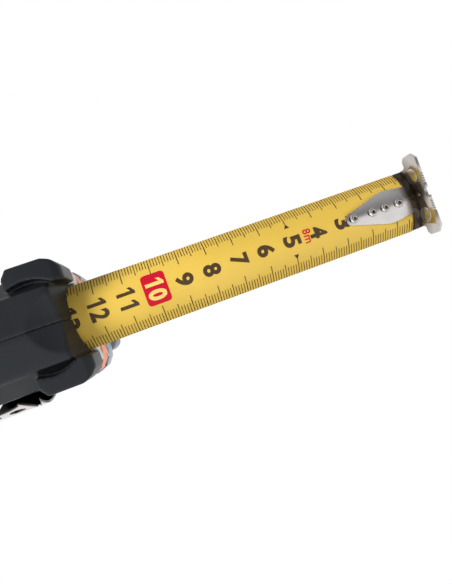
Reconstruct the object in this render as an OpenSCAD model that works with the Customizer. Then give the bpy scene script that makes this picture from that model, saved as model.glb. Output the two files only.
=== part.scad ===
// Pocket tape measure, 25 mm x 8 m, standing on its base with 127 mm of blade drawn out.
// Origin: middle of the flat base, under the drum. +X to the hook, +Z up, +Y the belt clip side. mm.

/* [Blade] */
// true width of the blade, measured round its curve
blade_w = 25;          // [13:1:32]
// steel and coating together
blade_t = 0.15;        // [0.1:0.01:0.3]
// radius of the blade's cross curve
curve_r = 15.6;        // [10:0.1:30]
// height of the blade's lowest line
crest_z = 10.5;        // [8:0.1:16]
// where the scale's zero is, at the outer face of the pushed-in hook
zero_x = 175;          // [70:1:400]
// inner end of the curved, sliding stretch
tail_x = 22.5;         // [20:0.5:40]
// how far the blade stops short of zero
blade_short = 3.6;     // [1:0.1:6]

/* [Case] */
// drum axis height
drum_z = 38;           // [30:1:50]
// outer radius of the case round the drum
case_r = 32;           // [26:0.5:45]
// front face
front_x = 49;          // [40:1:60]
// half width of the recessed sides
side_y = 17.9;         // [15:0.1:25]
// half width at the corner bumpers
bumper_y = 20.2;       // [17:0.1:28]
// rubber skin over base, back and top
skin_t = 2;            // [1:0.1:4]
// half width of the space for the blade
room_y = 13.6;         // [8:0.1:18]
// radius of the drum room
room_r = 27.6;         // [20:0.1:40]
// front face of the corner cheeks beside the mouth
cheek_x = 50.2;        // [45:0.1:60]
// top of the corner cheeks
cheek_z = 14.5;        // [8:0.5:25]
// finger dish under the mouth: half width, and depth at its middle
dish_r = 11.5;         // [6:0.5:14]
dish_depth = 1.9;      // [0.5:0.1:2.5]

/* [Front] */
// bottom and top of the coloured strip on the front
strip_z0 = 24;         // [18:0.5:30]
strip_z1 = 32;         // [24:0.5:40]
// bottom and top of the lock's front plate
plate_z0 = 34.5;       // [30:0.5:45]
plate_z1 = 43.2;       // [36:0.5:50]
// half width of the lock button
button_y = 14.5;       // [8:0.5:18]
// thickness of the lock button over the slope
button_t = 3.6;        // [2:0.1:6]

/* [Drum] */
// outer radius of the coiled blade
coil_r = 26;           // [15:0.5:40]
// radius of the spool
spool_r = 17;          // [8:0.5:25]
// half width of the spool's rim
spool_y = 12.6;        // [8:0.1:16]
// radius of the fixed centre post
post_r = 3.2;          // [2:0.1:6]
// turns of the power spring that are drawn
spring_turns = 7;      // [3:1:20]

/* [Hook] */
// sheet of the hook
hook_t = 1.0;          // [0.6:0.1:2]
// half widths of its neck and ears
neck_y = 11;           // [6:0.5:14]
ear_y = 14.7;          // [8:0.1:20]
// lowest edge, top of the ears
hook_z0 = 2.8;         // [0:0.1:5]
ear_z1 = 10.2;          // [5:0.1:14]
// length of the leaf under the blade
leaf_l = 29.1;         // [12:0.5:40]
leaf_t = 0.8;          // [0.4:0.1:1.5]
// distances of the rivets from zero
rivet_at = [8.1, 13.5, 18.6, 26];
rivet_r = 1.0;         // [0.8:0.1:2]
rivet_head_r = 1.7;    // [1:0.1:3]
magnet_r = 2.85;       // [1.5:0.05:4]
magnet_y = 7.3;        // [4:0.1:10]
magnet_z = 8.0;        // [3:0.1:9]

/* [Belt clip] */
// front and rear edges of the clip
clip_x0 = 0.5;         // [-20:0.1:20]
clip_x1 = 26.5;        // [10:0.1:40]
clip_t = 1.2;          // [0.8:0.1:2]
// how much narrower the clip is on each edge at its root
clip_taper = 2.5;      // [0:0.5:6]
// bend line, where the leaf starts to flex
clip_bend_z = 47;      // [35:1:60]
clip_end_z = 8.0;      // [5:0.5:30]

/* [Screws] */
// centres of the case screws, seen from the side
screw_at = [[-23, 9], [33.5, 26], [31, 49]];
screw_r = 1.5;         // [1:0.1:2.5]
screw_head_r = 2.9;    // [2:0.1:4]

/* [Hidden] */
$fn = 96;
blade_z = crest_z + curve_r;                     // axis of the blade's cross curve
blade_a = blade_w / curve_r * 180 / PI;          // angle that the curve spans
nose = [40, 42, 9];                              // front top rounding: x, z, r
heel = [-24, 8, 8];                              // back bottom rounding
toe = [43.6, 1, 1];                              // front bottom corner
brow = [48, 16, 1];                              // where the lower jaw meets the front
run = norm([nose[0], nose[1] - drum_z]);
tilt = 90 - atan2(nose[1] - drum_z, nose[0]) - acos((case_r - nose[2]) / run);
slope0 = [case_r * sin(tilt), drum_z + case_r * cos(tilt)];   // where the front slope starts
slope_l = sqrt(pow(run, 2) - pow(case_r - nose[2], 2));
jaw_out = curve_r + 1.9;                         // mouth slot, below the blade
jaw_in = curve_r - 1.2;                          // mouth slot, above the blade
dish_ball = (pow(dish_r, 2) + pow(dish_depth, 2)) / (2 * dish_depth);
hook_x = zero_x - hook_t;                        // inner face of the hook's flange
clip_y = side_y + clip_t;
clip_x = (clip_x0 + clip_x1) / 2;

// ---- helpers ----

// side profile of the case, taken in by d; keep_front leaves the front where it is
module profile(d, keep_front = false) {
    f = keep_front ? 0 : d;
    hull() {
        translate([0, drum_z]) circle(case_r - d);
        translate([heel[0], heel[1]]) circle(heel[2] - d);
        translate([nose[0], nose[1]]) circle(nose[2] - f);
        translate([toe[0] - f, toe[1] + d]) circle(toe[2]);
        translate([brow[0] - f, brow[1]]) circle(brow[2]);
    }
}

// a side profile drawn in X and Z, given thickness from y0 to y1 on the side s
module slab(y0, y1, s = 1) {
    rotate([90, 0, 0]) translate([0, 0, s > 0 ? -y1 : y0]) linear_extrude(y1 - y0) children();
}

// a box between two corners given as ranges, mirrored to side s
module block(x, y, z, s = 1) {
    translate([x[0], s > 0 ? y[0] : -y[1], z[0]]) cube([x[1] - x[0], y[1] - y[0], z[1] - z[0]]);
}

// a tube round the blade's curve axis, from x0 to x1
module curve_tube(r0, r1, x0, x1) {
    translate([x0, 0, blade_z]) rotate([0, 90, 0]) difference() {
        cylinder(r = r1, h = x1 - x0);
        if (r0 > 0) translate([0, 0, -1]) cylinder(r = r0, h = x1 - x0 + 2);
    }
}

// the curved slot that the blade, leaf and rivet heads pass through
module mouth_slot(x0, x1) {
    intersection() {
        curve_tube(jaw_in, jaw_out, x0, x1);
        translate([x0 - 1, -room_y + 1.2, 0]) cube([x1 - x0 + 2, 2 * room_y - 2.4, blade_z]);
    }
}

// pin along Y at a place in the side view
module y_pin(p, r, y0, y1) {
    translate([p[0], y1, p[1]]) rotate([90, 0, 0]) cylinder(r = r, h = y1 - y0);
}

// stands its child on the front slope: local X runs down it, local Z is its normal
module on_slope() {
    translate([slope0[0], 0, slope0[1]]) rotate([0, tilt, 0]) children();
}

// section of the body across Y: a narrow flat, two shallow facets, then the lower bevel
module body_section(s) {
    translate([-60, 0, 0]) rotate([90, 0, 90]) linear_extrude(140)
        polygon([for (p = [[0, 0], [1.5, 0], [11.8, 0.7], [12.5, 2.2], [side_y, 7.5],
            [side_y, 80], [0, 80]]) [s * p[0], p[1]]]);
}

module dish(extra) {
    translate([front_x - 2.4, 0, dish_depth - dish_ball]) sphere(r = dish_ball + extra);
}

// plan of a front bumper and of a back bumper, on the side s
module front_bumper_plan(s) {
    polygon([for (p = [[32.6, 12], [32.6, side_y - 0.6], [34.8, bumper_y], [45.4, bumper_y],
        [48.2, 19.0], [cheek_x, 16.6], [cheek_x, 12.2], [44, 12.2]]) [p[0], s * p[1]]]);
}
module back_bumper_plan(s) {
    polygon([for (p = [[-34, 12.5], [-34, 17.2], [-30, bumper_y], [-17, bumper_y],
        [-14.8, side_y - 0.6], [-14.8, 12.5]]) [p[0], s * p[1]]]);
}

// wide front of the shell, above the cheeks
module shell_head(s) {
    intersection() {
        slab(0, 20.2, s) profile(0);
        block([36.4, 60], [0, 30], [cheek_z, 90], s);
        translate([0, 0, -1]) linear_extrude(90)
            polygon([for (p = [[30, 0], [30, 20.2], [42.5, 20.2], [46.3, 18.6], [48.3, 15.8],
                [front_x, 12.5], [front_x, 0]]) [p[0], s * p[1]]]);
    }
}

// everything inside the case that both halves leave free
module room() {
    y_pin([0, drum_z], room_r, -room_y, room_y);
    y_pin([0, drum_z], post_r + 0.02, -room_y - 1.22, room_y + 1.22);
    translate([0, -room_y, 6.5]) cube([46.4, 2 * room_y, 14.5]);
    translate([37, -5.2, 20]) cube([9.2, 10.4, 25]);
    translate([37.2, -3.6, 44]) cube([9, 7.2, 16]);
    mouth_slot(40, 60);
}

// the shell's main wall, inside the rubber, from y0 outward
module core(y0, s) {
    difference() {
        intersection() {
            slab(y0, side_y - skin_t, s) profile(skin_t, true);
            translate([-60, 0, 0]) rotate([90, 0, 90]) linear_extrude(140)
                polygon([for (p = [[y0, 1.9], [0, 1.9], [11, 2.6], [12, 4.4], [side_y - skin_t, 8.4],
                    [side_y - skin_t, 80], [y0, 80]]) [s * p[0], p[1]]]);
        }
        dish(1.2);
        // the rubber's own lower jaw; the lip over the blade stays
        difference() {
            block([43.6, 60], [y0 - 1, 30], [-1, cheek_z], s);
            curve_tube(0, jaw_in + 0.2, 40, 70);
        }
    }
}

module shell(s) {
    color([0.62, 0.66, 0.70]) difference() {
        union() {
            core(0, s);
            shell_head(s);
        }
        room();
        for (p = screw_at) y_pin(p, screw_r, -30, 30);
        if (s < 0) for (p = screw_at) y_pin(p, screw_head_r, -30, -side_y + 4.2);
        y_pin([clip_x, 55], screw_r, 14, 30);
        block([46.8, 60], [0, 30], [strip_z0, strip_z1], s);
        block([46.8, 60], [0, 30], [plate_z0, plate_z1], s);
        block([30, 60], [18.6, 30], [strip_z0, strip_z1], s);
        block([38, 60], [19, 30], [plate_z0, plate_z1], s);
    }
}

module grip(s) {
    color([0.15, 0.155, 0.17]) difference() {
        union() {
            intersection() {
                hull() {
                    slab(0, side_y - 4.5, s) profile(0);
                    slab(side_y - 4.5, side_y - 1.6, s) profile(1.2);
                    slab(side_y - 1.7, side_y, s) profile(3.4);
                }
                body_section(s);
                block([-60, 49], [0, 30], [-1, 90], s);
            }
            intersection() {
                // a crescent pocket is left between the bumper and the base panel
                difference() {
                    linear_extrude(cheek_z) front_bumper_plan(s);
                    translate([38.5, s * 1.5, -1]) cylinder(r = 13.4, h = 5.5);
                }
                slab(0, 30, s) union() {
                    translate([32, 0]) square([cheek_x - 34, cheek_z]);
                    translate([32, 3]) square([cheek_x - 32, cheek_z - 3]);
                    translate([cheek_x - 3, 3]) circle(3);
                }
            }
            intersection() {
                linear_extrude(24) back_bumper_plan(s);
                slab(0, 30, s) profile(0.2);
            }
        }
        // the shell it is moulded over
        core(-1, s);
        curve_tube(0, jaw_in + 0.25, 40, 70);
        block([36.3, 60], [-1, 30], [cheek_z, 90], s);
        mouth_slot(40, 60);
        dish(0);
        // three flutes across the lower jaw
        for (y = [7.6, 9.1, 10.6]) translate([46.2, s * y, -1]) rotate([0, 16.3, 0])
            cylinder(r = 0.35, h = 16);
        // upright finger grooves at the back of each side
        for (k = [0:3]) block([-28.5 + 3.2 * k, -27.3 + 3.2 * k], [side_y - 0.7, 30],
            [28 - k, 50 + 2 * k], s);
        for (p = screw_at) if (s < 0) y_pin(p, screw_head_r, -30, -10);
        if (s < 0) y_pin([0, drum_z], 15.1, -30, -side_y + 0.8);
        if (s > 0) y_pin([clip_x, 55], screw_r, 14, 30);
    }
}

// a shallow strip that wraps round the shell's front
module wrap(d, z0, z1, x0) {
    intersection() {
        difference() {
            translate([0, 0, z0]) linear_extrude(z1 - z0) polygon([for (q = [
                [x0, 20.2], [42.5, 20.2], [46.3, 18.6], [48.3, 15.8], [front_x, 12.5],
                [front_x, -12.5], [48.3, -15.8], [46.3, -18.6], [42.5, -20.2], [x0, -20.2]])
                [q[0] + (q[0] > x0 ? d : 0), q[1] + sign(q[1]) * d]]);
            translate([20, -18.6, -1]) cube([26.8, 37.2, 100]);
        }
        translate([36.4, -30, 0]) cube([30, 60, 100]);
    }
}

module front_strip() color([0.95, 0.36, 0.10])
    wrap(0.3, strip_z0 + 0.1, strip_z1 - 0.1, 36.4);

module lock_plate() color([0.45, 0.52, 0.58]) difference() {
    wrap(0.5, plate_z0 + 0.1, plate_z1 - 0.1, 38.2);
    translate([30, -19.05, 0]) cube([16.7, 38.1, 100]);
}

module mouth_guide() color([0.10, 0.10, 0.11]) difference() {
    translate([29.5, -room_y + 0.1, 6.6]) cube([13.9, 2 * room_y - 0.2, 9.4]);
    curve_tube(0, jaw_out, 28, 60);
}

module lock_button() color([0.50, 0.54, 0.58]) on_slope() {
    difference() {
        intersection() {
            translate([slope_l - 21, -button_y, 0.35]) cube([30, 2 * button_y, button_t]);
            rotate([90, 0, 0]) translate([0, 0, -20]) linear_extrude(40)
                polygon([[slope_l - 21, 0], [slope_l - 21, 1], [slope_l - 18, button_t + 0.35],
                    [slope_l + 7, button_t + 0.35], [slope_l + 8.5, button_t - 1.2],
                    [slope_l + 8.5, 1.2], [slope_l + 7.6, 0.35], [slope_l + 6, 0]]);
            linear_extrude(10) hull() for (x = [slope_l - 17, slope_l + 2.5], y = [-1, 1])
                translate([x, y * (button_y - (x > slope_l ? 6 : 4))])
                    circle(r = x > slope_l ? 6 : 4);
        }
        for (k = [0:4]) translate([slope_l - 14 + 3 * k, -20, button_t + 0.55])
            rotate([-90, 0, 0]) cylinder(r = 0.7, h = 40);
    }
}

module lock_stem() color([0.30, 0.31, 0.33]) intersection() {
    difference() {
        translate([38, -3.4, 18]) cube([3.6, 6.8, 40]);
        translate([30, -5, 17]) cube([20, 10, 3.1]);
    }
    on_slope() translate([-40, -10, -60]) cube([100, 20, 60.3]);
}

// two feet press on the blade, and the rivets pass between them
module lock_pad() color([0.07, 0.07, 0.08]) difference() {
    intersection() {
        translate([37.3, -4.8, 10]) cube([4.9, 9.6, 10]);
        translate([30, 0, blade_z + 1.4]) rotate([0, 90, 0])
            cylinder(r = curve_r - 0.8, h = 20);
    }
    translate([36, -rivet_head_r - 0.35, 9]) cube([8, 2 * rivet_head_r + 0.7, 5]);
}

module centre_post() color([0.75, 0.76, 0.78]) difference() {
    y_pin([0, drum_z], post_r, -room_y - 1.2, room_y + 1.2);
    translate([-0.4, -spool_y + 2, drum_z]) cube([0.8, 2 * spool_y - 4, 10]);
}

module spool() color([0.85, 0.83, 0.76]) difference() {
    y_pin([0, drum_z], spool_r, -spool_y, spool_y);
    y_pin([0, drum_z], spool_r - 1.8, -spool_y + 1.6, spool_y + 1);
    y_pin([0, drum_z], post_r + 0.06, -20, 20);
}

module spool_cover() color([0.80, 0.78, 0.70]) difference() {
    y_pin([0, drum_z], spool_r - 1.85, spool_y - 1.4, spool_y);
    y_pin([0, drum_z], post_r + 0.06, -20, 20);
}

module side_discs() color([0.92, 0.92, 0.90]) for (s = [-1, 1]) difference() {
    y_pin([0, drum_z], coil_r - 1, s > 0 ? spool_y + 0.2 : -spool_y - 0.6,
        s > 0 ? spool_y + 0.6 : -spool_y - 0.2);
    y_pin([0, drum_z], post_r + 1.6, -30, 30);
}

// rings joined by a bridge stand for the flat spiral
module power_spring() color([0.30, 0.34, 0.42]) {
    pitch = (spool_r - 2.6 - post_r - 2.5) / spring_turns;
    for (k = [0:spring_turns - 1]) difference() {
        y_pin([0, drum_z], post_r + 2.5 + pitch * (k + 0.62), -spool_y + 2.4, spool_y - 2.4);
        y_pin([0, drum_z], post_r + 2.5 + pitch * k, -20, 20);
    }
    translate([-0.3, -spool_y + 2.4, drum_z + post_r + 0.1])
        cube([0.6, 2 * spool_y - 4.8, spool_r - 2.2 - post_r]);
}

module blade_coil() color([0.86, 0.70, 0.22]) difference() {
    y_pin([0, drum_z], coil_r, -blade_w / 2 + 0.2, blade_w / 2 - 0.2);
    y_pin([0, drum_z], spool_r + 0.02, -20, 20);
}

// the hidden stretch that opens from the flat coil to the curved blade
function run_point(i, j, up) = let (
        t = i / 8, e = t * t * (3 - 2 * t),
        k = max(0.0005, e / curve_r), a = (j / 10 - 0.5) * blade_w * k * 180 / PI,
        z0 = (drum_z - coil_r - 0.2) * (1 - e) + crest_z * e)
    [1 + (tail_x - 1.3) * t, sin(a) / k - up * sin(a) * blade_t / 2,
     z0 + (1 - cos(a)) / k + up * cos(a) * blade_t / 2];
function id(u, i, j) = u * 99 + i * 11 + j;
module blade_run() color([0.86, 0.70, 0.22]) {
    pts = [for (up = [-1, 1], i = [0:8], j = [0:10]) run_point(i, j, up)];
    polyhedron(pts, concat(
        [for (i = [0:7], j = [0:9]) [id(0, i, j), id(0, i + 1, j), id(0, i + 1, j + 1)]],
        [for (i = [0:7], j = [0:9]) [id(0, i, j), id(0, i + 1, j + 1), id(0, i, j + 1)]],
        [for (i = [0:7], j = [0:9]) [id(1, i, j), id(1, i + 1, j + 1), id(1, i + 1, j)]],
        [for (i = [0:7], j = [0:9]) [id(1, i, j), id(1, i, j + 1), id(1, i + 1, j + 1)]],
        [for (i = [0:7]) [id(0, i, 0), id(1, i, 0), id(1, i + 1, 0), id(0, i + 1, 0)]],
        [for (i = [0:7]) [id(0, i, 10), id(0, i + 1, 10), id(1, i + 1, 10), id(1, i, 10)]],
        [for (j = [0:9]) [id(0, 0, j), id(0, 0, j + 1), id(1, 0, j + 1), id(1, 0, j)]],
        [for (j = [0:9]) [id(0, 8, j), id(1, 8, j), id(1, 8, j + 1), id(0, 8, j + 1)]]));
}

module blade() color([0.88, 0.74, 0.24]) difference() {
    translate([tail_x, 0, blade_z]) rotate([0, 90, 0]) rotate([0, 0, -blade_a / 2])
        rotate_extrude(angle = blade_a)
            translate([curve_r - blade_t / 2, 0]) square([blade_t, zero_x - blade_short - tail_x]);
    for (d = rivet_at) translate([zero_x - d, 0, 0]) cylinder(r = rivet_r + 0.02, h = 20);
}

module hook_rivets() color([0.80, 0.81, 0.83]) for (d = rivet_at)
    translate([zero_x - d, 0, 0]) difference() {
        union() {
            translate([0, 0, crest_z - 1.6]) cylinder(r = rivet_r, h = 2.2);
            translate([0, 0, crest_z - 1.65]) cylinder(r1 = rivet_head_r - 0.4, r2 = rivet_head_r,
                h = 0.6);
            translate([0, 0, crest_z + 0.3]) cylinder(r = rivet_head_r, h = 0.45);
        }
        translate([0, 0, crest_z - 3]) cylinder(r = 0.6, h = 3.4);
    }

// outline of the leaf under the blade, seen from above
module leaf_plan() {
    hull() {
        translate([zero_x - leaf_l + 2.2, 0]) circle(2.2);
        translate([zero_x - 12.5, 0]) circle(6);
    }
    polygon([[zero_x - 13, -6], [zero_x - 10, -6], [hook_x - 3, -5], [hook_x + 0.4, -5],
        [hook_x + 0.4, 5], [hook_x - 3, 5], [zero_x - 10, 6], [zero_x - 13, 6]]);
}

// outline of the flange, Y across and Z up
module flange_plan() {
    c = 2.2;
    polygon([[-ear_y + c, hook_z0], [-1.6, hook_z0], [-1.1, hook_z0 + 1.1], [1.1, hook_z0 + 1.1],
        [1.6, hook_z0], [ear_y - c, hook_z0], [ear_y, hook_z0 + c], [ear_y, ear_z1 - 1.2],
        [ear_y - 1.2, ear_z1], [neck_y + 0.6, ear_z1], [neck_y, ear_z1 + 0.8], [neck_y, 15.6],
        [-neck_y, 15.6], [-neck_y, ear_z1 + 0.8], [-neck_y - 0.6, ear_z1], [-ear_y + 1.2, ear_z1],
        [-ear_y, ear_z1 - 1.2], [-ear_y, hook_z0 + c]]);
}

module hook() color([0.82, 0.83, 0.85]) difference() {
    union() {
        intersection() {
            curve_tube(curve_r + blade_t / 2 + 0.05, curve_r + blade_t / 2 + 0.05 + leaf_t,
                zero_x - leaf_l - 1, hook_x + 0.4);
            linear_extrude(blade_z - 5) leaf_plan();
        }
        difference() {
            translate([hook_x, 0, 0]) rotate([90, 0, 90]) linear_extrude(hook_t) flange_plan();
            curve_tube(0, curve_r - 1.1, hook_x - 5, hook_x + 5);
        }
        // the bend, standing behind the blade's end across the whole neck
        intersection() {
            curve_tube(curve_r - 1.1, curve_r + blade_t / 2 + 0.05 + leaf_t,
                zero_x - blade_short + 0.3, hook_x + 0.4);
            translate([zero_x - 10, -neck_y, 0]) cube([20, 2 * neck_y, blade_z]);
        }
    }
    for (d = rivet_at) translate([zero_x - d, 0, 0]) linear_extrude(11.5)
        union() {
            for (x = [-1.05, 0.05]) translate([x, 0]) circle(rivet_r + 0.06);
            translate([-1.05, -rivet_r - 0.06]) square([1.1, 2 * rivet_r + 0.12]);
        }
    for (s = [-1, 1]) translate([hook_x - 1, s * magnet_y, magnet_z]) rotate([0, 90, 0])
        cylinder(r = magnet_r + 0.03, h = hook_t + 0.75);
    // nail hole, and the scribing teeth on the lower edge
    translate([hook_x - 1, 0, 7.6]) rotate([0, 90, 0]) cylinder(r = 0.6, h = 5);
    for (k = [1:5]) for (s = [-1, 1]) translate([hook_x - 1, s * (2.4 + 0.9 * k), hook_z0])
        rotate([0, 90, 0]) cylinder(r = 0.25, h = 5);
}

module hook_magnets() color([0.70, 0.71, 0.74]) for (s = [-1, 1])
    translate([hook_x - 0.1, s * magnet_y, magnet_z]) rotate([0, 90, 0])
        cylinder(r = magnet_r, h = 0.8);

// outline of the clip, seen from its side: a root, a wider bow, and a lip slanted at both ends
module clip_plan() {
    rotate([90, 0, 0]) translate([0, 0, -40]) linear_extrude(30)
        polygon([[clip_x0 + clip_taper, 55], [clip_x0 + clip_taper + 4, 62],
            [clip_x1 - clip_taper - 4, 62], [clip_x1 - clip_taper, 55],
            [clip_x1 - clip_taper, clip_bend_z], [clip_x1, 24], [clip_x1, 21],
            [clip_x1 + 2.5, 12], [clip_x1 + 2.5, clip_end_z], [clip_x + 7.1, 12.4],
            [clip_x - 7.1, 12.4], [clip_x0 - 2.5, clip_end_z], [clip_x0 - 2.5, 12],
            [clip_x0, 21], [clip_x0, 24], [clip_x0 + clip_taper, clip_bend_z]]);
}

module clip_root() color([0.80, 0.81, 0.83]) difference() {
    intersection() {
        rotate([90, 0, 90]) translate([0, 0, clip_x0 - 4])
            linear_extrude(clip_x1 - clip_x0 + 8)
            polygon([[side_y, clip_bend_z + 0.4], [clip_y, clip_bend_z + 0.4], [clip_y, 62],
                [side_y, 62]]);
        clip_plan();
    }
    y_pin([clip_x, 55], screw_r + 0.05, 14, 30);
}

module belt_clip() color([0.82, 0.83, 0.85]) difference() {
    intersection() {
        rotate([90, 0, 90]) translate([0, 0, clip_x0 - 4])
            linear_extrude(clip_x1 - clip_x0 + 8)
            polygon([[side_y, clip_bend_z], [side_y + 3.6, clip_bend_z - 8],
                [side_y + 4.7, 31], [side_y + 4.9, 21.5], [side_y + 1.0, 13],
                [side_y + 1.3, 11.6], [side_y + 4.0, clip_end_z + 0.2],
                [side_y + 5.0, clip_end_z + 0.9], [side_y + 2.5, 12.1],
                [side_y + 2.3, 13], [side_y + 6.1, 21.2], [side_y + 5.9, 31],
                [side_y + 4.8, clip_bend_z - 7.6], [clip_y + 0.4, clip_bend_z]]);
        clip_plan();
    }
    // a notch up the middle of the free end, and two slots above it
    translate([clip_x, 30, 0]) rotate([90, 0, 0]) linear_extrude(15) union() {
        translate([0, 13]) scale([1, 0.48]) circle(7.1);
        translate([-7.1, 0]) square([14.2, 13]);
    }
    for (s = [-1, 1]) translate([clip_x + s * 4.1, 30, 18.5]) rotate([90, 0, 0])
        linear_extrude(15) scale([1, 0.6]) circle(2.7);
}

module clip_screw() color([0.70, 0.71, 0.73]) difference() {
    union() {
        y_pin([clip_x, 55], screw_r - 0.05, 15.2, clip_y + 0.2);
        translate([clip_x, clip_y, 55]) rotate([-90, 0, 0]) cylinder(r1 = 3.4, r2 = 2.6, h = 1.3);
    }
    cross_recess([clip_x, 55], clip_y + 0.5, 1);
}

// cross recess in a head whose face looks along Y
module cross_recess(p, y, s) {
    for (a = [0, 90]) translate([p[0], y + s * 0.6, p[1]]) rotate([0, a, 0])
        cube([3.4, 1.6, 0.8], center = true);
}

module case_screws() color([0.66, 0.67, 0.69]) for (p = screw_at) difference() {
    union() {
        y_pin(p, screw_r - 0.05, -side_y + 2.2, 12);
        y_pin(p, screw_head_r - 0.15, -side_y + 2.3, -side_y + 4.1);
    }
    cross_recess(p, -side_y + 3.1, -1);
}

module side_label() color([0.80, 0.42, 0.14]) difference() {
    y_pin([0, drum_z], 15, -side_y - 0.2, -side_y + 0.75);
    y_pin([0, drum_z], 12.2, -30, -side_y + 0.15);
}

shell(-1);  // shell_left
shell(1);  // shell_right
grip(-1);  // grip_left
grip(1);  // grip_right
front_strip();
lock_plate();
mouth_guide();
lock_button();
lock_stem();
lock_pad();
centre_post();
spool();
spool_cover();
side_discs();
power_spring();
blade_coil();
blade_run();
blade();
hook_rivets();
hook();
hook_magnets();
clip_root();
belt_clip();
clip_screw();
case_screws();
side_label();
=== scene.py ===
import math
import bmesh
import bpy
from mathutils import Matrix, Vector


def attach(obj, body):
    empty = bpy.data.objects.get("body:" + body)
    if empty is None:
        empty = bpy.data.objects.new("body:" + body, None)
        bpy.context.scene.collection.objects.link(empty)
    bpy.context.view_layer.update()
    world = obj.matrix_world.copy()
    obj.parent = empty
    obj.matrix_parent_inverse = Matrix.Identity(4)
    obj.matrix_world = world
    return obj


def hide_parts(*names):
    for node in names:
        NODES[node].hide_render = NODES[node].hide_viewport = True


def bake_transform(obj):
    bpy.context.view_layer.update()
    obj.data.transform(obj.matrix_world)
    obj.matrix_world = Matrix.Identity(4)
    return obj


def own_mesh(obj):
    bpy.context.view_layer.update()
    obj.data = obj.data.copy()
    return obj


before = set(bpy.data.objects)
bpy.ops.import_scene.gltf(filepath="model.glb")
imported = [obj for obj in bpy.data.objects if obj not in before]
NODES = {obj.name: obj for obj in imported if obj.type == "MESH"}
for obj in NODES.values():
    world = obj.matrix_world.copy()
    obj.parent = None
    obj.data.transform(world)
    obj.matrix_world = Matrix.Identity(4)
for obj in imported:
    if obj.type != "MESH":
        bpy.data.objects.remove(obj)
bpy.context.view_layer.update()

MM = 0.001

# ---- sizes, as in the CAD part, in millimetres ----
BLADE_W = 25.0            # round the curve
BLADE_T = 0.15
CURVE_R = 15.6
CREST_Z = 10.5
AXIS_Z = CREST_Z + CURVE_R
ZERO_X = 175.0            # where the printed scale starts
TAIL_X = 22.5             # inner end of the curved stretch
BLADE_END = ZERO_X - 3.6
HOOK_X = ZERO_X - 1.0      # inner face of the hook's flange
SIDE_Y = 17.9
CLIP_MID = 13.5
CLIP_T = 0.8              # the clip's sheet as it is drawn
CLIP_STEPS = 8            # faces across the sheet
CLIP_SLOT = (4.1, 18.5, 2.7, 1.62)     # from the middle, height, half width, half height
CLIP_NOTCH = (13.0, 7.1, 3.4)          # height, half width, half height
SEAM = 2e-6               # points nearer than this are one, in metres
INK_T = 0.02              # printed ink stands this proud of the blade
DIGIT_H = 6.4             # height of the scale's numerals
SLICE = 0.6               # printed marks bend with the blade in steps of this
TICKS = ((10, 6.7, 0.32), (5, 5.3, 0.29), (1, 4.1, 0.26))    # every so many mm: length, width


# ---------------------------------------------------------------- materials

def map_range(tree, source, low, high, to_low=0.0, to_high=1.0):
    """Takes low..high to to_low..to_high."""
    node = tree.nodes.new("ShaderNodeMapRange")
    node.inputs["From Min"].default_value = low
    node.inputs["From Max"].default_value = high
    node.inputs["To Min"].default_value = to_low
    node.inputs["To Max"].default_value = to_high
    tree.links.new(source, node.inputs["Value"])
    return node.outputs["Result"]


class Nodes:
    """Short names for building a material's node tree."""

    def __init__(self, name):
        self.mat = bpy.data.materials.new(name)
        self.mat.use_nodes = True
        self.tree = self.mat.node_tree
        self.bsdf = self.tree.nodes["Principled BSDF"]
        self.coord = self.add("ShaderNodeTexCoord")

    def add(self, kind, **values):
        n = self.tree.nodes.new(kind)
        for key, value in values.items():
            if key in n.inputs:
                n.inputs[key].default_value = value
            else:
                setattr(n, key, value)
        return n

    def link(self, a, b):
        self.tree.links.new(a, b)

    def mapped(self, scale=(1, 1, 1)):
        m = self.add("ShaderNodeMapping")
        m.inputs["Scale"].default_value = scale
        self.link(self.coord.outputs["Object"], m.inputs["Vector"])
        return m.outputs["Vector"]

    def noise(self, scale, detail=4.0, rough=0.5, stretch=(1, 1, 1)):
        n = self.add("ShaderNodeTexNoise", Scale=scale, Detail=detail, Roughness=rough)
        self.link(self.mapped(stretch), n.inputs["Vector"])
        return n.outputs["Fac"]

    def ramp(self, fac, stops):
        r = self.add("ShaderNodeValToRGB")
        while len(r.color_ramp.elements) < len(stops):
            r.color_ramp.elements.new(0.5)
        for e, (pos, col) in zip(r.color_ramp.elements, stops):
            e.position = pos
            e.color = (*col, 1.0) if not isinstance(col, float) else (col, col, col, 1.0)
        self.link(fac, r.inputs["Fac"])
        return r.outputs["Color"]

    def span(self, fac, low, high):
        """Takes the range that noise mostly stays in to low..high."""
        return map_range(self.tree, fac, 0.25, 0.75, low, high)

    def mix(self, fac, a, b):
        """Mixes two colours, each a socket or a constant."""
        m = self.add("ShaderNodeMix", data_type="RGBA", blend_type="MIX")
        self.link(fac, m.inputs["Factor"])
        for value, socket in ((a, m.inputs[6]), (b, m.inputs[7])):
            if isinstance(value, tuple):
                socket.default_value = (*value, 1.0)
            else:
                self.link(value, socket)
        return m.outputs[2]

    def bump(self, heights):
        """heights: (socket, strength, distance in metres), chained."""
        last = None
        for height, strength, distance in heights:
            b = self.add("ShaderNodeBump", Strength=strength, Distance=distance)
            self.link(height, b.inputs["Height"])
            if last:
                self.link(last, b.inputs["Normal"])
            last = b.outputs["Normal"]
        self.link(last, self.bsdf.inputs["Normal"])

    def set(self, **values):
        for key, value in values.items():
            self.bsdf.inputs[key.replace("_", " ")].default_value = value


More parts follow.
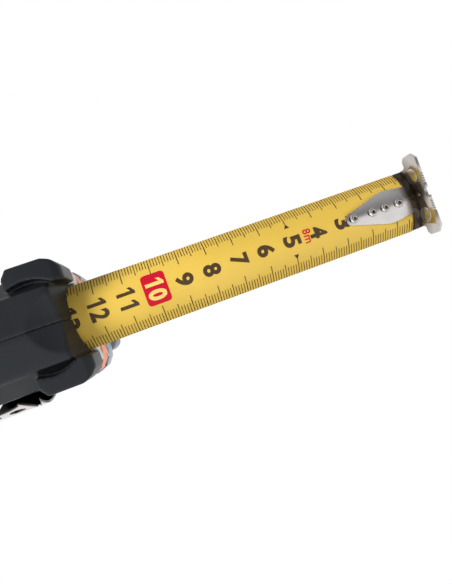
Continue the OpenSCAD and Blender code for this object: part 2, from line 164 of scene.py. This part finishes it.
def moulded(name, dark, light, rough, specular=0.5, cast=(1, 1, 1)):
    """Moulded plastic or rubber: spark-eroded grain, slow colour drift, rubbed and dusty patches."""
    n = Nodes(name)
    drift = n.noise(38.0, 5.0, 0.6)
    base = n.ramp(drift, [(0.32, dark), (0.68, light)])
    dust = n.ramp(n.noise(900.0, 2.0, 0.7), [(0.66, 0.0), (0.80, 1.0)])
    lift = tuple(min(1.0, c * 1.5 + 0.012) for c in light)
    n.link(n.mix(n.span(dust, 0.0, 0.35), base, lift), n.bsdf.inputs["Base Color"])
    n.link(n.span(n.noise(120.0, 6.0, 0.65), rough[0], rough[1]), n.bsdf.inputs["Roughness"])
    n.bump([(n.noise(2600.0, 3.0, 0.6), 0.35, 0.00003),
            (n.noise(70.0, 2.0), 0.12, 0.0002)])
    n.set(Specular_IOR_Level=specular, Specular_Tint=(*cast, 1))
    return n.mat


def bright_metal(name, dark, light, rough, brushed=(1, 1, 1)):
    """Plated or polished metal with fine rubbing lines, smudges and tiny pits."""
    n = Nodes(name)
    n.link(n.ramp(n.noise(55.0, 4.0, 0.6), [(0.35, dark), (0.65, light)]),
           n.bsdf.inputs["Base Color"])
    n.link(n.span(n.noise(240.0, 5.0, 0.7, brushed), rough[0], rough[1]),
           n.bsdf.inputs["Roughness"])
    n.bump([(n.noise(700.0, 2.0, 0.6, brushed), 0.025, 0.000006),
            (n.noise(60.0, 1.0), 0.05, 0.00004)])
    n.set(Metallic=1.0)
    return n.mat


def clip_metal(name, dark, light, rough):
    """The clip's sheet: bright outside, with painted shade darkening the side that faces the case."""
    mat = bright_metal(name, dark, light, rough, (0.3, 1.0, 1.0))
    tree = mat.node_tree
    bsdf = tree.nodes["Principled BSDF"]
    base = bsdf.inputs["Base Color"].links[0].from_socket
    coord = tree.nodes.new("ShaderNodeTexCoord")
    axes = tree.nodes.new("ShaderNodeSeparateXYZ")
    blend = tree.nodes.new("ShaderNodeMix")
    blend.data_type = "RGBA"
    # painted shade: faces turned towards the case get this near-black colour
    blend.inputs[7].default_value = (0.045, 0.042, 0.042, 1)
    tree.links.new(coord.outputs["Normal"], axes.inputs[0])
    tree.links.new(map_range(tree, axes.outputs["Y"], 0.35, 0.05), blend.inputs[0])
    tree.links.new(base, blend.inputs[6])
    tree.links.new(blend.outputs[2], bsdf.inputs["Base Color"])
    return mat


def folded_metal(name, dark, light, rough):
    """The hook's plate: soft rolled steel, with painted shade darkening its fold."""
    n = Nodes(name)
    base = n.ramp(n.noise(55.0, 4.0, 0.6), [(0.35, dark), (0.65, light)])
    # distance from the blade's curve axis, and place along the blade
    off = n.add("ShaderNodeVectorMath", operation="SUBTRACT")
    off.inputs[1].default_value = (0, 0, AXIS_Z * MM)
    flat = n.add("ShaderNodeVectorMath", operation="MULTIPLY")
    flat.inputs[1].default_value = (0, 1, 1)
    size = n.add("ShaderNodeVectorMath", operation="LENGTH")
    n.link(n.coord.outputs["Object"], off.inputs[0])
    n.link(off.outputs[0], flat.inputs[0])
    n.link(flat.outputs[0], size.inputs[0])
    reach = map_range(n.tree, size.outputs["Value"], 16.0 * MM, 24.0 * MM)
    # painted shade: the plate's colour runs near black close to the fold and lightens away from it
    fold_shade = n.ramp(reach, [(0.08, (0.085, 0.07, 0.058)), (0.26, (0.26, 0.22, 0.17)),
                           (0.55, (0.36, 0.32, 0.27)), (0.95, (0.56, 0.53, 0.51))])
    axes = n.add("ShaderNodeSeparateXYZ")
    n.link(n.coord.outputs["Object"], axes.inputs[0])
    near = map_range(n.tree, axes.outputs["X"], (HOOK_X - 5.0) * MM, (HOOK_X - 2.4) * MM)
    n.link(n.mix(near, base, fold_shade), n.bsdf.inputs["Base Color"])
    n.link(n.span(n.noise(240.0, 5.0, 0.7), rough[0], rough[1]), n.bsdf.inputs["Roughness"])
    n.bump([(n.noise(900.0, 2.0, 0.6, (1.0, 0.2, 1.0)), 0.05, 0.000006),
            (n.noise(60.0, 1.0), 0.08, 0.00004)])
    n.set(Metallic=1.0)
    return n.mat


def printed_blade(name, dark, light):
    """Yellow coating under a clear nylon film: faint roller lines along it, handling scuffs."""
    n = Nodes(name)
    drift = n.noise(30.0, 3.0, 0.55, (0.6, 1.6, 1.0))
    lines = n.noise(900.0, 2.0, 0.5, (0.03, 1.0, 1.0))
    base = n.ramp(drift, [(0.30, dark), (0.70, light)])
    scuff = n.ramp(n.noise(420.0, 4.0, 0.7, (0.25, 1.0, 1.0)), [(0.60, 0.0), (0.74, 1.0)])
    worn = tuple(c * 0.86 for c in dark)
    n.link(n.mix(n.span(scuff, 0.0, 0.30), base, worn), n.bsdf.inputs["Base Color"])
    n.link(n.span(n.noise(160.0, 4.0, 0.6), 0.34, 0.50), n.bsdf.inputs["Roughness"])
    n.bump([(lines, 0.16, 0.00002), (n.noise(1900.0, 2.0), 0.12, 0.00001)])
    n.set(Specular_IOR_Level=0.2, Coat_Weight=0.06, Coat_Roughness=0.3)
    return n.mat


def ink(name, dark, light):
    """Printed ink with slightly broken cover."""
    n = Nodes(name)
    n.link(n.ramp(n.noise(2400.0, 3.0, 0.6), [(0.35, dark), (0.70, light)]),
           n.bsdf.inputs["Base Color"])
    n.link(n.span(n.noise(800.0, 3.0), 0.38, 0.55), n.bsdf.inputs["Roughness"])
    n.bump([(n.noise(2600.0, 2.0), 0.10, 0.00001)])
    n.set(Specular_IOR_Level=0.15)
    return n.mat


M = {
    "rubber": moulded("rubber", (0.006, 0.0068, 0.0078), (0.010, 0.011, 0.0125),
                      (0.33, 0.46), specular=0.33, cast=(0.86, 0.93, 1.0)),
    "shell": moulded("shell_grey", (0.46, 0.48, 0.52), (0.56, 0.58, 0.61), (0.30, 0.42)),
    "accent": moulded("accent_orange", (0.82, 0.20, 0.055), (0.95, 0.28, 0.09), (0.30, 0.42)),
    "plate": moulded("plate_blue_grey", (0.24, 0.31, 0.37), (0.32, 0.39, 0.45), (0.28, 0.40)),
    "guide": moulded("guide_black", (0.010, 0.010, 0.011), (0.02, 0.02, 0.021), (0.45, 0.6)),
    "button": moulded("button_grey", (0.23, 0.25, 0.28), (0.32, 0.34, 0.37), (0.30, 0.42)),
    "stem": moulded("stem_dark", (0.03, 0.03, 0.033), (0.05, 0.05, 0.055), (0.4, 0.6)),
    "pad": moulded("pad_rubber", (0.008, 0.008, 0.009), (0.02, 0.02, 0.02), (0.6, 0.8)),
    "spool": moulded("spool_nylon", (0.62, 0.59, 0.50), (0.72, 0.70, 0.62), (0.35, 0.5)),
    "disc": moulded("slip_disc", (0.70, 0.70, 0.68), (0.80, 0.80, 0.78), (0.25, 0.4)),
    "label": moulded("badge_grey", (0.10, 0.105, 0.115), (0.15, 0.155, 0.165), (0.25, 0.38)),
    "blade": printed_blade("blade_yellow", (0.62, 0.41, 0.060), (0.70, 0.475, 0.082)),
    "ink": ink("ink_brown", (0.050, 0.030, 0.016), (0.085, 0.052, 0.026)),
    "red": ink("ink_red", (0.46, 0.006, 0.020), (0.56, 0.010, 0.032)),
    "ink_yellow": ink("ink_yellow", (0.80, 0.52, 0.14), (0.88, 0.62, 0.20)),
    "chrome": clip_metal("chrome", (0.62, 0.61, 0.60), (0.76, 0.74, 0.73), (0.10, 0.22)),
    "hook": folded_metal("hook_steel", (0.50, 0.49, 0.48), (0.62, 0.60, 0.59), (0.14, 0.26)),
    "rivet": bright_metal("rivet_steel", (0.40, 0.39, 0.38), (0.56, 0.55, 0.54), (0.14, 0.26)),
    "magnet": bright_metal("magnet_nickel", (0.42, 0.42, 0.44), (0.60, 0.60, 0.62), (0.12, 0.28)),
    "post": bright_metal("post_steel", (0.45, 0.45, 0.46), (0.60, 0.60, 0.61), (0.2, 0.35)),
    "spring": bright_metal("spring_blued", (0.05, 0.06, 0.10), (0.10, 0.12, 0.18), (0.2, 0.4)),
    "screw": bright_metal("screw_zinc", (0.38, 0.38, 0.40), (0.56, 0.56, 0.58), (0.18, 0.36)),
}

NODE_LOOK = {
    "shell_left": "shell", "shell_right": "shell", "grip_left": "rubber", "grip_right": "rubber",
    "front_strip": "accent", "lock_plate": "plate", "mouth_guide": "guide",
    "lock_button": "button", "lock_stem": "stem", "lock_pad": "pad", "centre_post": "post",
    "spool": "spool", "spool_cover": "spool", "side_discs": "disc", "power_spring": "spring",
    "blade_coil": "blade", "blade_run": "blade", "blade": "blade", "hook_rivets": "rivet",
    "hook": "hook", "hook_magnets": "magnet", "clip_root": "chrome", "belt_clip": "chrome",
    "clip_screw": "screw", "case_screws": "screw", "side_label": "label",
}


def dress_nodes():
    for name, look in NODE_LOOK.items():
        obj = NODES[name]
        if not obj.data.materials:
            obj.data.materials.append(M[look])
        for k in range(len(obj.data.materials)):
            obj.data.materials[k] = M[look]


# ---------------------------------------------------------------- mesh helpers

def finished(bm, name):
    """The bmesh as a mesh; the bmesh is freed."""
    mesh = bpy.data.meshes.new(name)
    bm.to_mesh(mesh)
    bm.free()
    return mesh


def paint(mesh, look):
    mesh.materials.clear()
    mesh.materials.append(M[look])


def new_object(name, mesh, look, body):
    obj = bpy.data.objects.new(name, mesh)
    bpy.context.scene.collection.objects.link(obj)
    paint(mesh, look)
    if body:
        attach(obj, body)
    return obj


def smooth(mesh, angle=35.0):
    for p in mesh.polygons:
        p.use_smooth = True
    mesh.set_sharp_from_angle(angle=math.radians(angle))


def applied(obj):
    """The object's mesh with its modifiers applied, and the modifiers gone."""
    deps = bpy.context.evaluated_depsgraph_get()
    mesh = bpy.data.meshes.new_from_object(obj.evaluated_get(deps))
    obj.modifiers.clear()
    obj.data = mesh
    return mesh


def seamless(node, flat=False):
    """A copy of a CAD node's mesh with its seams joined, and its flat areas merged if flat is set."""
    mesh = NODES[node].data.copy()
    bm = bmesh.new()
    bm.from_mesh(mesh)
    bmesh.ops.remove_doubles(bm, verts=bm.verts, dist=SEAM)
    if flat:
        bmesh.ops.dissolve_limit(bm, angle_limit=math.radians(0.4), verts=bm.verts,
                                 edges=bm.edges)
    bm.to_mesh(mesh)
    bm.free()
    return mesh


def bevel(obj, width, segments, angle):
    """Breaks the edges sharper than angle; width in millimetres."""
    edge = obj.modifiers.new("edge", "BEVEL")
    edge.width = width * MM
    edge.segments = segments
    edge.limit_method = "ANGLE"
    edge.angle_limit = math.radians(angle)


def soft_skin(node, name, look, body, voxel, rounds):
    """A copy of a CAD node with its edges rounded the way a moulding's are; it stands for the node."""
    obj = new_object(name, seamless(node), look, None)
    grid = obj.modifiers.new("grid", "REMESH")
    grid.mode = "VOXEL"
    grid.voxel_size = voxel * MM
    grid.use_smooth_shade = True
    relax = obj.modifiers.new("relax", "SMOOTH")
    relax.factor = 0.5
    relax.iterations = rounds
    mesh = applied(obj)
    paint(mesh, look)
    for p in mesh.polygons:
        p.use_smooth = True
    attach(obj, body)
    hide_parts(node)


def eased(node, look, body, width, angle=32.0):
    """A copy of a CAD node with its sharp edges broken and its round faces smooth."""
    obj = new_object(node + "_skin", seamless(node, flat=True), look, None)
    bevel(obj, width, 3, angle)
    mesh = applied(obj)
    paint(mesh, look)
    smooth(mesh, angle)
    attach(obj, body)
    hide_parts(node)
    return obj


def rolled(obj):
    """Gives the hook's leaf the normals of the true curve, so that its slots don't break the shine."""
    mesh = obj.data
    normals = [Vector(c.vector) for c in mesh.corner_normals]
    for face in mesh.polygons:
        axis = Vector((0, face.center.y, face.center.z - AXIS_Z * MM)).normalized()
        side = face.normal.dot(axis)
        if abs(side) > 0.985 and face.center.x < (HOOK_X - 3.2) * MM:
            for k in face.loop_indices:
                p = mesh.vertices[mesh.loops[k].vertex_index].co
                normals[k] = Vector((0, p.y, p.z - AXIS_Z * MM)).normalized() * (
                    1 if side > 0 else -1)
    mesh.normals_split_custom_set(normals)


def between(points, x):
    """Straight-line interpolation in a list of (x, value) pairs with x falling."""
    for (x0, v0), (x1, v1) in zip(points, points[1:]):
        if x1 <= x <= x0:
            return v0 + (v1 - v0) * (x - x0) / (x1 - x0)
    return points[0][1] if x > points[0][0] else points[-1][1]


def rounded(path, rounds=3):
    """Cuts the corners of an open path, keeping its ends."""
    for _ in range(rounds):
        out = [path[0]]
        for p, q in zip(path, path[1:]):
            out += [p.lerp(q, 0.25), p.lerp(q, 0.75)]
        path = out + [path[-1]]
    return path


def cut(obj, flat_outline):
    """Cuts a hole along Y through obj, with an outline given in X and Z in millimetres."""
    bm = bmesh.new()
    rings = [[bm.verts.new(Vector((x, y, z)) * MM) for x, z in flat_outline] for y in (15, 30)]
    bm.faces.new(rings[0])
    bm.faces.new(reversed(rings[1]))
    for k in range(len(flat_outline)):
        j = (k + 1) % len(flat_outline)
        bm.faces.new((rings[0][j], rings[0][k], rings[1][k], rings[1][j]))
    bmesh.ops.recalc_face_normals(bm, faces=bm.faces)
    tool = bpy.data.objects.new("cutter", finished(bm, "cutter"))
    bpy.context.scene.collection.objects.link(tool)
    hole = obj.modifiers.new("hole", "BOOLEAN")
    hole.operation = "DIFFERENCE"
    hole.solver = "EXACT"
    hole.object = tool
    applied(obj)
    bpy.data.objects.remove(tool)


def oval(x, z, half_w, half_h):
    """Outline of an oval in X and Z, a point each ten degrees."""
    return [(x + half_w * math.cos(t), z + half_h * math.sin(t))
            for t in (math.radians(10 * k) for k in range(36))]


def make_clip():
    """The belt clip is one sheet: flat root, bend, bowed leaf, then a lip that turns out again."""
    path = rounded([Vector((SIDE_Y + y, z)) for y, z in (
        (0.45, 61.9), (0.45, 48.0), (0.9, 46.2), (4.1, 39.0), (5.3, 31.0), (5.5, 21.6),
        (1.68, 13.2), (1.9, 12.0), (4.45, 8.75))])
    wide = [(62.0, 6.5), (55.0, 10.5), (47.0, 10.5), (24.0, 13.0), (21.0, 12.8), (13.0, 12.6),
            (11.6, 14.6), (9.5, 15.3), (0.0, 15.4)]
    bm = bmesh.new()
    rows = []
    for k, p in enumerate(path):
        run = (path[min(k + 1, len(path) - 1)] - path[max(k - 1, 0)]).normalized()
        out = Vector((-run.y, run.x)) * CLIP_T / 2
        half = between(wide, p.y)
        across = [CLIP_MID + half * (2 * i / CLIP_STEPS - 1) for i in range(CLIP_STEPS + 1)]
        rows.append([[bm.verts.new(Vector((x, *(p + out * side))) * MM) for x in across]
                     for side in (1, -1)])
    for (f0, b0), (f1, b1) in zip(rows, rows[1:]):
        for i in range(CLIP_STEPS):
            bm.faces.new((f0[i], f0[i + 1], f1[i + 1], f1[i]))
            bm.faces.new((b0[i + 1], b0[i], b1[i], b1[i + 1]))
        bm.faces.new((f0[0], f1[0], b1[0], b0[0]))
        bm.faces.new((f0[-1], b0[-1], b1[-1], f1[-1]))
    for f, b in (rows[0], rows[-1]):
        for i in range(CLIP_STEPS):
            bm.faces.new((f[i], b[i], b[i + 1], f[i + 1]))
    bmesh.ops.recalc_face_normals(bm, faces=bm.faces)
    obj = new_object("clip_sheet", finished(bm, "clip_sheet"), "chrome", None)
    aside, height, half_w, half_h = CLIP_SLOT
    cut(obj, oval(CLIP_MID - aside, height, half_w, half_h))
    cut(obj, oval(CLIP_MID + aside, height, half_w, half_h))
    # the notch: the upper half of an oval, opening into a wedge that slants the lip's ends
    height, half_w, half_h = CLIP_NOTCH
    cut(obj, oval(CLIP_MID, height, half_w, half_h)[:19]
        + [(CLIP_MID - half_w, 12.5), (CLIP_MID - 15.6, 8.1), (CLIP_MID - 15.6, 5.0),
           (CLIP_MID + 15.6, 5.0), (CLIP_MID + 15.6, 8.1), (CLIP_MID + half_w, 12.5)])
    cut(obj, oval(CLIP_MID, 55.0, 1.55, 1.55))
    bevel(obj, 0.16, 2, 40)
    mesh = applied(obj)
    paint(mesh, "chrome")
    smooth(mesh, 35)
    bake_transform(obj)
    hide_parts("clip_root", "belt_clip")


def on_blade(x, s, r):
    """Point on the curved blade: x along it, s round its curve from the crest, r from its axis."""
    a = s / CURVE_R
    return Vector((x, r * math.sin(a), AXIS_Z - r * math.cos(a))) * MM


def blade_patch(bm, x0, x1, s0, s1, r_in, r_out, nx, ns):
    """A closed curved slab between x0..x1 and s0..s1."""
    shells = []
    for r in (r_in, r_out):
        shells.append([[bm.verts.new(on_blade(x0 + (x1 - x0) * i / nx, s0 + (s1 - s0) * j / ns, r))
                        for j in range(ns + 1)] for i in range(nx + 1)])
    inner, outer = shells
    for i in range(nx):
        for j in range(ns):
            bm.faces.new((inner[i][j], inner[i][j + 1], inner[i + 1][j + 1], inner[i + 1][j]))
            bm.faces.new((outer[i][j], outer[i + 1][j], outer[i + 1][j + 1], outer[i][j + 1]))
    for i in range(nx):
        for j in (0, ns):
            a, b, c, d = inner[i][j], inner[i + 1][j], outer[i + 1][j], outer[i][j]
            bm.faces.new((a, b, c, d) if j == 0 else (d, c, b, a))
    for j in range(ns):
        for i in (0, nx):
            a, b, c, d = inner[i][j], inner[i][j + 1], outer[i][j + 1], outer[i][j]
            bm.faces.new((d, c, b, a) if i == 0 else (a, b, c, d))


def bm_object(name, bm, look, body):
    bmesh.ops.recalc_face_normals(bm, faces=bm.faces)
    mesh = finished(bm, name)
    smooth(mesh)
    return new_object(name, mesh, look, body)


# ---------------------------------------------------------------- blade and its print

SIDES = {
    # name: (inner radius, outer radius of the ink, direction of s that text runs in)
    "under": (CURVE_R + BLADE_T / 2 - 0.002, CURVE_R + BLADE_T / 2 + INK_T, 1),
    "upper": (CURVE_R - BLADE_T / 2 - INK_T, CURVE_R - BLADE_T / 2 + 0.002, -1),
}


def make_blade():
    bm = bmesh.new()
    half = BLADE_W / 2
    blade_patch(bm, TAIL_X, BLADE_END, -half, half, CURVE_R - BLADE_T / 2, CURVE_R + BLADE_T / 2,
                72, 40)
    return bm_object("blade_strip", bm, "blade", "case")


def make_ticks(side):
    """A tick each millimetre on both edges, longer at 5 mm and longest at each centimetre."""
    r0, r1, _ = SIDES[side]
    bm = bmesh.new()
    edge = BLADE_W / 2
    for mm in range(1, int(ZERO_X - TAIL_X)):
        x = ZERO_X - mm
        _, length, wide = next(t for t in TICKS if mm % t[0] == 0)
        for sign in (-1, 1):
            blade_patch(bm, x - wide / 2, x + wide / 2, sign * (edge - 0.08),
                        sign * (edge - length), r0, r1, 1, 10)
    return bm_object("blade_ticks_" + side, bm, "ink", "case")


def glyph_one(height):
    """The numeral one: an upright bar with a flag, X across, Y up."""
    mesh = bpy.data.meshes.new("one")
    top, foot = height / 2, -height / 2
    mesh.from_pydata([(0.05, foot, 0), (1.25, foot, 0), (1.25, top, 0), (0.35, top, 0),
                      (-1.15, top - 1.2, 0), (-1.15, top - 2.4, 0), (0.05, top - 1.5, 0)], [],
                     [(0, 1, 2, 3, 6), (3, 4, 5, 6)])
    return mesh


def flat_text(text, height, width, weight):
    """Mesh of a numeral centred on the origin: X across, Y up, in millimetres."""
    curve = bpy.data.curves.new("glyph", "FONT")
    curve.body = text
    curve.offset = weight
    curve.resolution_u = 4
    curve.space_character = 1.08
    obj = bpy.data.objects.new("glyph", curve)
    bpy.context.scene.collection.objects.link(obj)
    mesh = bpy.data.meshes.new_from_object(obj.evaluated_get(
        bpy.context.evaluated_depsgraph_get()))
    bpy.data.objects.remove(obj)
    bpy.data.curves.remove(curve)
    xs = [v.co.x for v in mesh.vertices]
    ys = [v.co.y for v in mesh.vertices]
    cx, cy = (min(xs) + max(xs)) / 2, (min(ys) + max(ys)) / 2
    kx, ky = width / (max(xs) - min(xs)), height / (max(ys) - min(ys))
    for v in mesh.vertices:
        v.co = Vector(((v.co.x - cx) * kx, (v.co.y - cy) * ky, 0))
    return mesh


def round_box(height, width, r):
    """Mesh of a filled rounded box, X across, Y up."""
    bm = bmesh.new()
    ring = []
    for k, (sx, sy) in enumerate(((1, 1), (-1, 1), (-1, -1), (1, -1))):
        for t in range(7):
            a = math.radians(90 * k + 15 * t)
            ring.append(bm.verts.new((sx * (width / 2 - r) + r * math.cos(a),
                                      sy * (height / 2 - r) + r * math.sin(a), 0)))
    bm.faces.new(ring)
    return finished(bm, "box")


def arrow(width, height, flip):
    """Mesh of a small filled arrow that points along X, or back along it when flip is -1."""
    mesh = bpy.data.meshes.new("arrow")
    mesh.from_pydata([(0, -height / 2, 0), (0, height / 2, 0), (flip * width, 0, 0)], [],
                     [(0, 1, 2)])
    return mesh


def lay_on(bm, flat, side, mark, across=0.0, lift=0.0):
    """Wraps a flat mark round the blade: its middle at a mark in mm from zero, its top to the hook."""
    r0, r1, way = SIDES[side]
    if side == "under":
        r1 += lift
    else:
        r0 -= lift
    part = bmesh.new()
    part.from_mesh(flat)
    bmesh.ops.triangulate(part, faces=part.faces)
    reach = max(abs(v.co.x) for v in part.verts)
    for k in range(-int(reach / SLICE), int(reach / SLICE) + 1):
        bmesh.ops.bisect_plane(part, geom=part.verts[:] + part.edges[:] + part.faces[:],
                               plane_co=(k * SLICE + 0.0137, 0, 0), plane_no=(1, 0, 0))
    part.verts.index_update()
    caps = {}
    for r in (r0, r1):
        caps[r] = {v.index: bm.verts.new(on_blade(ZERO_X - mark + v.co.y,
                                                  across + way * v.co.x, r))
                   for v in part.verts}
    for f in part.faces:
        bm.faces.new([caps[r0][v.index] for v in f.verts])
        bm.faces.new([caps[r1][v.index] for v in reversed(f.verts)])
    for e in part.edges:
        if len(e.link_faces) == 1:
            a, b = (v.index for v in e.verts)
            bm.faces.new((caps[r0][a], caps[r0][b], caps[r1][b], caps[r1][a]))
    part.free()


def lay_number(bm, text, side, mark, lift=0.0):
    """One or two numerals side by side at a mark."""
    pair = len(text) > 1
    for k, digit in enumerate(text):
        across = (4.4 * k - 2.7) if pair else 0.0
        if digit == "1":
            flat = glyph_one(DIGIT_H)
        else:
            flat = flat_text(digit, DIGIT_H, 3.6 if pair else 4.2, 0.04)
        lay_on(bm, flat, side, mark, SIDES[side][2] * across, lift)


def make_numbers(side):
    dark, red, pale = bmesh.new(), bmesh.new(), bmesh.new()
    for cm in range(1, 15):
        if cm == 10:
            lay_on(red, round_box(8.3, 10.9, 1.3), side, 100, -SIDES[side][2] * 0.5)
            lay_number(pale, "10", side, 100, 0.01)
        elif cm > 1 or side == "upper":
            lay_number(dark, str(cm), side, 10.0 * cm)
    for sign in (-1, 1):
        lay_on(dark, arrow(1.7, 1.9, sign), side, 50, SIDES[side][2] * sign * 5.0)
    lay_on(red, flat_text("8m", 3.1, 5.0, 0.02), side, 44.0)
    return [bm_object("blade_numbers_" + side, dark, "ink", "case"),
            bm_object("blade_red_" + side, red, "red", "case"),
            bm_object("blade_ten_" + side, pale, "ink_yellow", "case")]


def make_tape():
    strip = make_blade()
    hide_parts("blade")
    pieces = [strip]
    for side in SIDES:
        pieces.append(make_ticks(side))
        pieces += make_numbers(side)
    for p in pieces:
        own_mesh(p)


# ---------------------------------------------------------------- camera, light, floor

def aim(obj, eye, right, up):
    """Places a camera or light by its eye point and its own right and up directions."""
    right, up = Vector(right).normalized(), Vector(up).normalized()
    back = right.cross(up).normalized()
    up = back.cross(right)
    m = Matrix((right, up, back)).transposed().to_4x4()
    m.translation = Vector(eye)
    obj.matrix_world = m


def make_camera():
    """Looks up at the underside from about 14 cm, the blade rising to the right."""
    cam = bpy.data.cameras.new("camera")
    cam.sensor_width = 36.0
    cam.lens = 25.53
    cam.clip_start = 0.005
    obj = bpy.data.objects.new("camera", cam)
    bpy.context.scene.collection.objects.link(obj)
    aim(obj, (0.07919, 0.0120, -0.12989), (0.93184, 0.34602, -0.10911),
        (0.34076, -0.93793, -0.06428))
    bpy.context.scene.camera = obj


def soft_light(name, eye, target, size, watts):
    data = bpy.data.lights.new(name, "AREA")
    data.shape = "DISK"
    data.size = size
    data.energy = watts
    obj = bpy.data.objects.new(name, data)
    bpy.context.scene.collection.objects.link(obj)
    back = (Vector(eye) - Vector(target)).normalized()
    side = back.cross(Vector((0, 1, 0))).normalized()
    aim(obj, eye, -side, back.cross(-side))
    obj.visible_camera = obj.visible_glossy = False


def board(tree, fac, stops, last, green=1.0):
    """A grey ramp through (place, level) stops, ending at the level last."""
    ramp = tree.nodes.new("ShaderNodeValToRGB")
    for place, level in stops:
        stop = ramp.color_ramp.elements.new(place)
        stop.color = (level, level * green, level, 1)
    ramp.color_ramp.elements.remove(ramp.color_ramp.elements[0])
    ramp.color_ramp.elements[-1].color = (last, last, last, 1)
    tree.links.new(fac, ramp.inputs["Fac"])
    return ramp.outputs["Color"]


def make_world():
    """White to the camera, graded boards to shiny surfaces, and a soft grey to the rest."""
    world = bpy.data.worlds.new("studio")
    bpy.context.scene.world = world
    world.use_nodes = True
    tree = world.node_tree
    tree.nodes.clear()
    out = tree.nodes.new("ShaderNodeOutputWorld")
    coord = tree.nodes.new("ShaderNodeTexCoord")
    axes = tree.nodes.new("ShaderNodeSeparateXYZ")
    link = tree.links.new
    link(coord.outputs["Generated"], axes.inputs[0])
    ramp = tree.nodes.new("ShaderNodeValToRGB")
    ramp.color_ramp.elements[0].color = (0.55, 0.55, 0.57, 1)
    ramp.color_ramp.elements[1].color = (0.95, 0.95, 0.95, 1)
    link(map_range(tree, axes.outputs["Z"], -1.0, 1.0), ramp.inputs["Fac"])
    soft = tree.nodes.new("ShaderNodeBackground")
    soft.inputs["Strength"].default_value = 0.42
    link(ramp.outputs["Color"], soft.inputs["Color"])
    white = tree.nodes.new("ShaderNodeBackground")
    white.inputs["Color"].default_value = (1, 1, 1, 1)
    white.inputs["Strength"].default_value = 1.0
    # what polished metal sees: pale above, and below a board graded across Y and along X
    sides = map_range(tree, axes.outputs["Y"], -0.6, 0.1)
    below = board(tree, sides, ((0.0, 0.62), (0.35, 0.45), (0.66, 0.26), (0.76, 0.52), (0.84, 1.2)),
                  1.2, 0.99)
    along = map_range(tree, axes.outputs["X"], -1.0, 1.0)
    length = board(tree, along, ((0.22, 1.7), (0.36, 1.15), (0.60, 0.22), (0.70, 0.95), (0.78, 1.0)),
                   1.0)
    both = tree.nodes.new("ShaderNodeMix")
    both.data_type = "RGBA"
    both.blend_type = "MULTIPLY"
    both.inputs[0].default_value = 1.0
    link(below, both.inputs[6])
    link(length, both.inputs[7])
    view = tree.nodes.new("ShaderNodeMix")
    view.data_type = "RGBA"
    view.inputs[7].default_value = (0.98, 0.96, 0.95, 1)
    link(map_range(tree, axes.outputs["Z"], -0.1, 0.3), view.inputs[0])
    link(both.outputs[2], view.inputs[6])
    boards = tree.nodes.new("ShaderNodeBackground")
    boards.inputs["Strength"].default_value = 1.0
    link(view.outputs[2], boards.inputs["Color"])
    path = tree.nodes.new("ShaderNodeLightPath")
    gloss = tree.nodes.new("ShaderNodeMixShader")
    link(path.outputs["Is Glossy Ray"], gloss.inputs["Fac"])
    link(soft.outputs[0], gloss.inputs[1])
    link(boards.outputs[0], gloss.inputs[2])
    mix = tree.nodes.new("ShaderNodeMixShader")
    link(path.outputs["Is Camera Ray"], mix.inputs["Fac"])
    link(gloss.outputs[0], mix.inputs[1])
    link(white.outputs[0], mix.inputs[2])
    link(mix.outputs[0], out.inputs["Surface"])


def make_floor():
    """A pale floor that only shows from above; from below it is clear."""
    mesh = bpy.data.meshes.new("floor")
    far, low = 3.0, -0.0002
    mesh.from_pydata([(-far, -far, low), (far, -far, low), (far, far, low), (-far, far, low)], [],
                     [(0, 1, 2, 3)])
    obj = bpy.data.objects.new("floor", mesh)
    bpy.context.scene.collection.objects.link(obj)
    n = Nodes("floor_pale")
    n.link(n.ramp(n.noise(6.0), [(0.3, (0.80, 0.80, 0.80)), (0.7, (0.84, 0.84, 0.84))]),
           n.bsdf.inputs["Base Color"])
    n.set(Roughness=0.7, Emission_Color=(0.8, 0.8, 0.8, 1))
    # paler with distance, so that it runs into the background without an edge
    out = n.add("ShaderNodeVectorMath", operation="LENGTH")
    n.link(n.coord.outputs["Object"], out.inputs[0])
    n.link(map_range(n.tree, out.outputs["Value"], 0.25, 0.9, 0.4, 1.3),
           n.bsdf.inputs["Emission Strength"])
    clear = n.add("ShaderNodeBsdfTransparent")
    side = n.add("ShaderNodeNewGeometry")
    pick = n.add("ShaderNodeMixShader")
    n.link(side.outputs["Backfacing"], pick.inputs[0])
    n.link(n.bsdf.outputs[0], pick.inputs[1])
    n.link(clear.outputs[0], pick.inputs[2])
    n.link(pick.outputs[0], n.tree.nodes["Material Output"].inputs["Surface"])
    mesh.materials.append(n.mat)
    obj.visible_shadow = obj.visible_diffuse = obj.visible_glossy = False
    obj.visible_transmission = False


def make_lights():
    soft_light("key_below", (-0.34, -0.16, -0.34), (0.06, 0, 0.02), 0.26, 4.2)
    soft_light("fill_below", (0.30, 0.25, -0.38), (0.10, 0, 0.02), 0.45, 1.3)
    soft_light("key_above", (-0.30, -0.45, 0.80), (0.06, 0, 0.02), 0.60, 7.0)
    soft_light("fill_above", (0.60, 0.55, 0.50), (0.06, 0, 0.02), 0.70, 4.0)


bpy.context.scene.view_settings.view_transform = "Standard"
dress_nodes()
soft_skin("grip_left", "grip_left_skin", "rubber", "case", 0.40, 10)
soft_skin("grip_right", "grip_right_skin", "rubber", "case", 0.40, 10)
soft_skin("lock_button", "lock_button_skin", "button", "lock", 0.30, 4)
for side in ("left", "right"):
    eased("shell_" + side, "shell", "case", 0.45)
eased("front_strip", "accent", "case", 0.12)
eased("lock_plate", "plate", "case", 0.2)
eased("side_label", "label", "case", 0.25)
eased("case_screws", "screw", "case", 0.12)
eased("clip_screw", "screw", "case", 0.12)
rolled(eased("hook", "hook", "hook", 0.14))
eased("hook_magnets", "magnet", "hook", 0.12)
eased("hook_rivets", "rivet", "tape", 0.12)
make_clip()
make_tape()
make_camera()
make_world()
make_floor()
make_lights()
